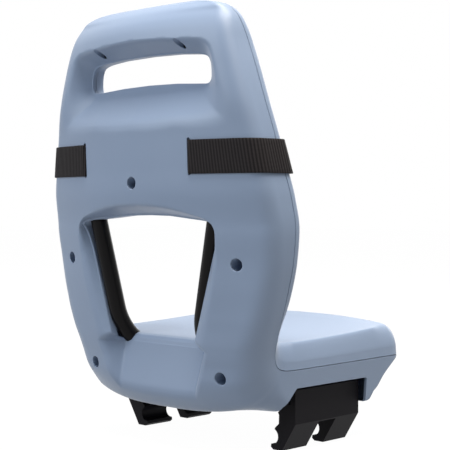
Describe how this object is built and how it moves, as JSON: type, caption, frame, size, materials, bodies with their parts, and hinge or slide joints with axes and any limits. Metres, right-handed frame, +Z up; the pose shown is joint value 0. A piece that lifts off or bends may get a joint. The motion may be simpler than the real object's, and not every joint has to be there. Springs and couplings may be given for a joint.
{
  "type": "rear child bike seat",
  "caption": "Moulded seat for a bicycle's rear rack, with a tall back, carrying slot, lap strap, steel frame and two clamps closed by a hand wheel.",
  "frame": {"origin": "middle of the seat's width and length, at the bottom of the clamp hooks", "axes": "+X to the right as seen from behind, +Y forward to the nose of the seat, +Z up"},
  "size_m": [0.327, 0.2769, 0.4509],
  "materials": {
    "shell": "satin",
    "frame": "gloss",
    "black_plastic": "satin",
    "clamp_plastic": "satin",
    "plate_steel": "satin",
    "zinc": "satin",
    "brass": "satin",
    "webbing": "matte"
  },
  "bodies": {
    "seat": {"rear_shell": "shell", "front_shell": "shell", "frame_tube": "frame", "tube_plugs": "black_plastic", "carrier": "plate_steel", "tube_saddles": "plate_steel", "saddle_screws": "zinc", "carrier_screws": "zinc", "guide_rods": "zinc", "lap_strap": "webbing", "buckle_socket": "black_plastic", "buckle_tongue": "black_plastic", "strap_keeper": "black_plastic", "shell_screws": "zinc"},
    "spindle_group": {"spindle": "zinc", "hand_wheel": "black_plastic", "retaining_rings": "zinc"},
    "left_clamp_group": {"clamp_left": "clamp_plastic", "nut_left": "brass"},
    "right_clamp_group": {"clamp_right": "clamp_plastic", "nut_right": "brass"}
  },
  "joints": [
    {"name": "spindle_turn", "type": "hinge", "parent": "seat", "child": "spindle_group", "pos_m": [0, 0.022, 0.055], "axis": [1, 0, 0], "range_deg": [0, 2970]},
    {"name": "left_clamp_slide", "type": "slide", "parent": "seat", "child": "left_clamp_group", "axis": [1, 0, 0], "range_m": [0, 0.033]},
    {"name": "right_clamp_slide", "type": "slide", "parent": "seat", "child": "right_clamp_group", "axis": [-1, 0, 0], "range_m": [0, 0.033]}
  ],
  "couplings": [
    {"joint": "right_clamp_slide", "follows": "left_clamp_slide", "ratio": 1},
    {"joint": "spindle_turn", "follows": "left_clamp_slide", "rad_per_m": 1570.8}
  ]
}
